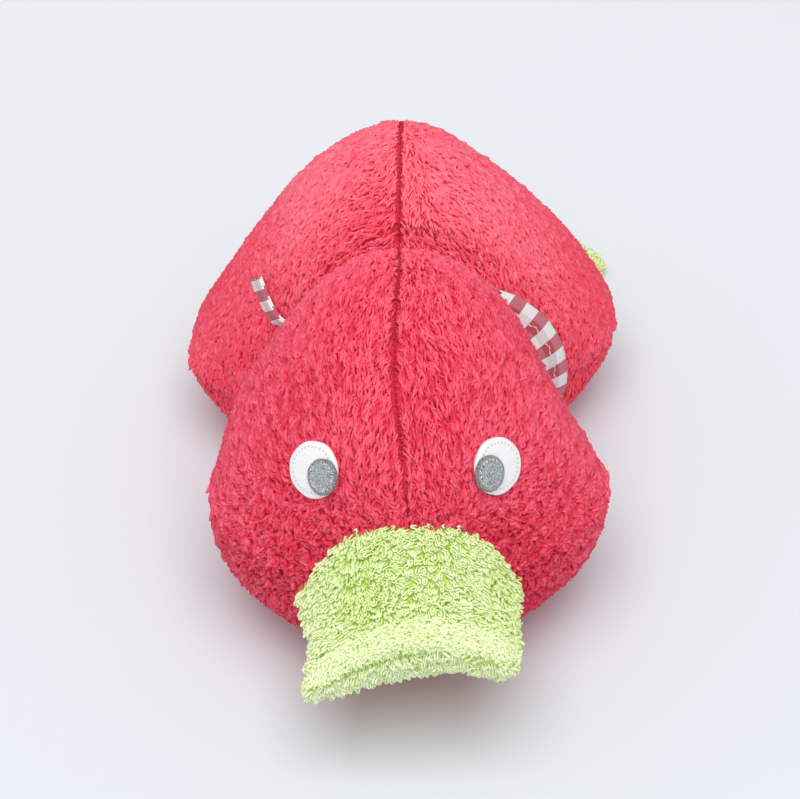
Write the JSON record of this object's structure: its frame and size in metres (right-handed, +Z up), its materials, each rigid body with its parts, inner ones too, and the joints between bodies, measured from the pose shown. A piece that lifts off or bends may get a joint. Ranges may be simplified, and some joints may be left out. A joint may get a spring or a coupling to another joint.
{
  "type": "plush_duck",
  "caption": "Small plush duck lying on its belly: tent-shaped terry body and head, flat padded bill, felt eyes, gingham neck ribbon with a bow, and flat pivoting feet",
  "frame": {"origin": "middle of the flat patch of belly that the duck rests on, under the widest line of the body", "axes": "+Z up; the duck faces -Y and its length runs along Y; +X is on the right seen from in front of the bill"},
  "size_m": [0.1169, 0.2093, 0.0905],
  "materials": {
    "terry_red": "looped terry pile, matt",
    "terry_lime": "fine looped terry pile, matt",
    "stuffing": "fibre filling, hidden",
    "felt_white": "brushed felt, matt",
    "felt_grey": "satin-stitched grey thread",
    "gingham_ribbon": "woven gingham cotton"
  },
  "bodies": {
    "torso": {"back_panel_left": "terry_red", "back_panel_right": "terry_red", "belly_panel": "terry_red", "body_filling": "stuffing", "ribbon_band": "gingham_ribbon", "ribbon_knot": "gingham_ribbon", "ribbon_loop_left": "gingham_ribbon", "ribbon_loop_right": "gingham_ribbon"},
    "neck": {"neck_filling": "stuffing"},
    "head": {"head_panel_left": "terry_red", "head_panel_right": "terry_red", "chin_panel": "terry_red", "head_filling": "stuffing", "bill_upper": "terry_lime", "bill_lower": "terry_lime", "bill_filling": "stuffing", "eye_white_left": "felt_white", "pupil_left": "felt_grey", "eye_white_right": "felt_white", "pupil_right": "felt_grey"},
    "foot_left": {"foot_upper_left": "terry_lime", "foot_sole_left": "terry_lime", "foot_filling_left": "stuffing"},
    "foot_right": {"foot_upper_right": "terry_lime", "foot_sole_right": "terry_lime", "foot_filling_right": "stuffing"}
  },
  "joints": [
    {"name": "head_turn", "type": "hinge", "parent": "torso", "child": "neck", "pos_m": [0, -0.044, 0.038], "axis": [0, 0, 1], "range_deg": [-12, 12], "stiffness_Nm_per_rad": 0.5},
    {"name": "head_nod", "type": "hinge", "parent": "neck", "child": "head", "pos_m": [0, -0.044, 0.038], "axis": [-1, 0, 0], "range_deg": [0, 10], "stiffness_Nm_per_rad": 0.5},
    {"name": "foot_left_flap", "type": "hinge", "parent": "torso", "child": "foot_left", "pos_m": [-0.01598, 0.03137, 0.0036], "axis": [0.891, 0.454, 0], "range_deg": [0, 14], "stiffness_Nm_per_rad": 0.01},
    {"name": "foot_right_flap", "type": "hinge", "parent": "torso", "child": "foot_right", "pos_m": [0.02852, 0.03399, 0.0036], "axis": [0.766, -0.6428, 0], "range_deg": [0, 14], "stiffness_Nm_per_rad": 0.01}
  ]
}
